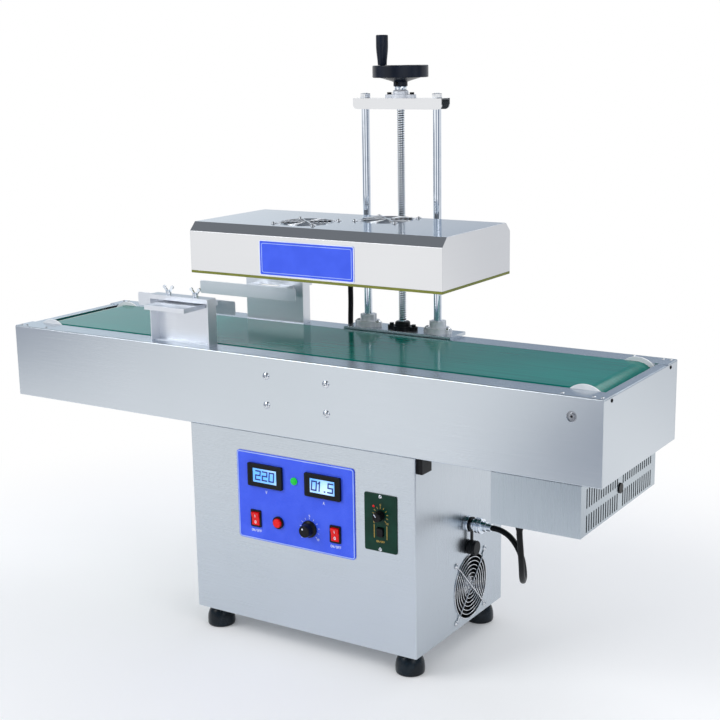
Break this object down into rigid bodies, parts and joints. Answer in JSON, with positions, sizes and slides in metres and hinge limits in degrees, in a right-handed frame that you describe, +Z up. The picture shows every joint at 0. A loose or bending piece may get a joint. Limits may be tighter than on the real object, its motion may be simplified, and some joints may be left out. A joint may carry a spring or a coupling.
{
  "type": "induction cap sealer",
  "caption": "Stainless belt conveyor on a control cabinet with a fan-cooled induction head that a handwheel and lead screw lift on two posts to seal foil caps.",
  "frame": {"origin": "on the floor under the middle of the machine's box", "axes": "+X along the conveyor in the belt's direction, -Y towards the operator's console, +Z up"},
  "size_m": [1.2, 0.3899, 1.0476],
  "materials": {
    "stainless": "brushed",
    "zinc_steel": "zinc plated",
    "chrome": "polished",
    "cast_aluminium": "sand cast",
    "green_belt": "glossy",
    "white_nylon": "smooth",
    "motor_paint": "satin",
    "black_rubber": "matte",
    "black_plastic": "satin",
    "blue_plate": "gloss",
    "green_plate": "satin",
    "green_lens": "gloss",
    "red_plastic": "gloss",
    "glass_fibre_board": "satin",
    "copper": "lacquered",
    "bronze": "turned"
  },
  "bodies": {
    "machine": {"front_side_panel": "stainless", "rear_side_panel": "stainless", "end_plates": "stainless", "conveyor_belt": "green_belt", "bed_frame": "zinc_steel", "roller_bearings": "zinc_steel", "motor_box": "stainless", "gear_motor": "motor_paint", "drive_belt": "black_rubber", "cabinet_shell": "stainless", "cabinet_rear_panel": "stainless", "rubber_feet": "black_rubber", "inverter_module": "cast_aluminium", "control_panel": "blue_plate", "panel_meters": "black_plastic", "indicator_lamp": "green_lens", "switch_bezels": "black_plastic", "speed_controller": "green_plate", "cabinet_fan_frame": "black_plastic", "cabinet_fan_guard": "chrome", "cable_connector": "chrome", "dust_cap": "black_rubber", "motor_cable": "black_rubber", "cable_glands": "black_plastic", "screws": "chrome", "column_base_plate": "stainless", "guide_posts": "chrome", "column_flanges": "cast_aluminium", "crossbar": "stainless", "head_cable": "black_rubber", "guide_brackets": "stainless"},
    "spindle": {"lead_screw": "zinc_steel", "handwheel": "black_plastic"},
    "crank_grip": {"crank_grip": "black_plastic"},
    "head": {"head_shell": "stainless", "head_base_board": "glass_fibre_board", "induction_coil": "copper", "head_fan_frames": "black_plastic", "head_fan_guards": "chrome", "carriage": "cast_aluminium", "carriage_bushings": "bronze", "head_gland": "black_plastic"},
    "left_fan": {"left_fan_rotor": "black_plastic"},
    "right_fan": {"right_fan_rotor": "black_plastic"},
    "cabinet_fan": {"cabinet_fan_rotor": "black_plastic"},
    "drive_roller": {"drive_roller": "white_nylon"},
    "idler_roller": {"idler_roller": "white_nylon"},
    "motor_pulley": {"motor_pulley": "zinc_steel"},
    "power_rocker": {"power_rocker": "red_plastic"},
    "start_rocker": {"start_rocker": "red_plastic"},
    "reset_button": {"reset_button": "red_plastic"},
    "power_knob": {"power_knob": "black_plastic"},
    "speed_knob": {"speed_knob": "black_plastic"},
    "speed_rocker": {"speed_rocker": "black_plastic"},
    "front_guide": {"front_guide": "stainless"},
    "rear_guide": {"rear_guide": "stainless"},
    "front_wing_screw_a": {"front_wing_screw_a": "chrome"},
    "front_wing_screw_b": {"front_wing_screw_b": "chrome"},
    "rear_wing_screw_a": {"rear_wing_screw_a": "chrome"},
    "rear_wing_screw_b": {"rear_wing_screw_b": "chrome"}
  },
  "joints": [
    {"name": "handwheel_turn", "type": "hinge", "parent": "machine", "child": "spindle", "pos_m": [0.09, 0.135, 0.95], "axis": [0, 0, -1], "range_deg": [-1802, 16205]},
    {"name": "head_lift", "type": "slide", "parent": "machine", "child": "head", "axis": [0, 0, 1], "range_m": [-0.02, 0.18], "deforming": ["head_cable"]},
    {"name": "grip_spin", "type": "hinge", "parent": "spindle", "child": "crank_grip", "pos_m": [0.053, 0.135, 1], "axis": [0, 0, 1], "continuous": true},
    {"name": "drive_roller_spin", "type": "hinge", "parent": "machine", "child": "drive_roller", "pos_m": [0.55, 0, 0.489], "axis": [0, 1, 0], "continuous": true},
    {"name": "idler_roller_spin", "type": "hinge", "parent": "machine", "child": "idler_roller", "pos_m": [-0.55, 0, 0.489], "axis": [0, 1, 0], "continuous": true},
    {"name": "motor_pulley_spin", "type": "hinge", "parent": "machine", "child": "motor_pulley", "pos_m": [0.493, 0.115, 0.3375], "axis": [0, 1, 0], "continuous": true},
    {"name": "left_fan_spin", "type": "hinge", "parent": "head", "child": "left_fan", "pos_m": [0.006, -0.043, 0.72], "axis": [0, 0, 1], "continuous": true},
    {"name": "right_fan_spin", "type": "hinge", "parent": "head", "child": "right_fan", "pos_m": [0.114, 0.045, 0.72], "axis": [0, 0, 1], "continuous": true},
    {"name": "cabinet_fan_spin", "type": "hinge", "parent": "machine", "child": "cabinet_fan", "pos_m": [0.27, 0.034, 0.104], "axis": [1, 0, 0], "continuous": true},
    {"name": "power_rocker_tip", "type": "hinge", "parent": "machine", "child": "power_rocker", "pos_m": [-0.0355, -0.157, 0.2305], "axis": [1, 0, 0], "range_deg": [-14, 0]},
    {"name": "start_rocker_tip", "type": "hinge", "parent": "machine", "child": "start_rocker", "pos_m": [0.1295, -0.157, 0.2305], "axis": [1, 0, 0], "range_deg": [-14, 0]},
    {"name": "reset_button_press", "type": "slide", "parent": "machine", "child": "reset_button", "axis": [0, 1, 0], "range_m": [0, 0.002], "stiffness_N_per_m": 400, "springref_m": -0.001},
    {"name": "power_knob_turn", "type": "hinge", "parent": "machine", "child": "power_knob", "pos_m": [0.0765, -0.157, 0.2305], "axis": [0, -1, 0], "range_deg": [-270, 0]},
    {"name": "speed_knob_turn", "type": "hinge", "parent": "machine", "child": "speed_knob", "pos_m": [0.218, -0.157, 0.279], "axis": [0, -1, 0], "range_deg": [-150, 150]},
    {"name": "speed_rocker_tip", "type": "hinge", "parent": "machine", "child": "speed_rocker", "pos_m": [0.218, -0.157, 0.2505], "axis": [1, 0, 0], "range_deg": [-14, 0]},
    {"name": "front_guide_slide", "type": "slide", "parent": "machine", "child": "front_guide", "axis": [0, 1, 0], "range_m": [-0.02, 0.05]},
    {"name": "rear_guide_slide", "type": "slide", "parent": "machine", "child": "rear_guide", "axis": [0, -1, 0], "range_m": [-0.02, 0.05]},
    {"name": "front_wing_a_turn", "type": "hinge", "parent": "machine", "child": "front_wing_screw_a", "pos_m": [-0.2375, -0.1265, 0.61], "axis": [0, 0, 1], "range_deg": [-360, 360]},
    {"name": "front_wing_b_turn", "type": "hinge", "parent": "machine", "child": "front_wing_screw_b", "pos_m": [-0.1765, -0.1265, 0.61], "axis": [0, 0, 1], "range_deg": [-360, 360]},
    {"name": "rear_wing_a_turn", "type": "hinge", "parent": "machine", "child": "rear_wing_screw_a", "pos_m": [-0.2125, 0.1265, 0.61], "axis": [0, 0, 1], "range_deg": [-360, 360]},
    {"name": "rear_wing_b_turn", "type": "hinge", "parent": "machine", "child": "rear_wing_screw_b", "pos_m": [-0.1515, 0.1265, 0.61], "axis": [0, 0, 1], "range_deg": [-360, 360]}
  ],
  "couplings": [
    {"joint": "handwheel_turn", "follows": "head_lift", "rad_per_m": 1570.8},
    {"joint": "idler_roller_spin", "follows": "drive_roller_spin", "ratio": 1},
    {"joint": "motor_pulley_spin", "follows": "drive_roller_spin", "ratio": 1}
  ]
}
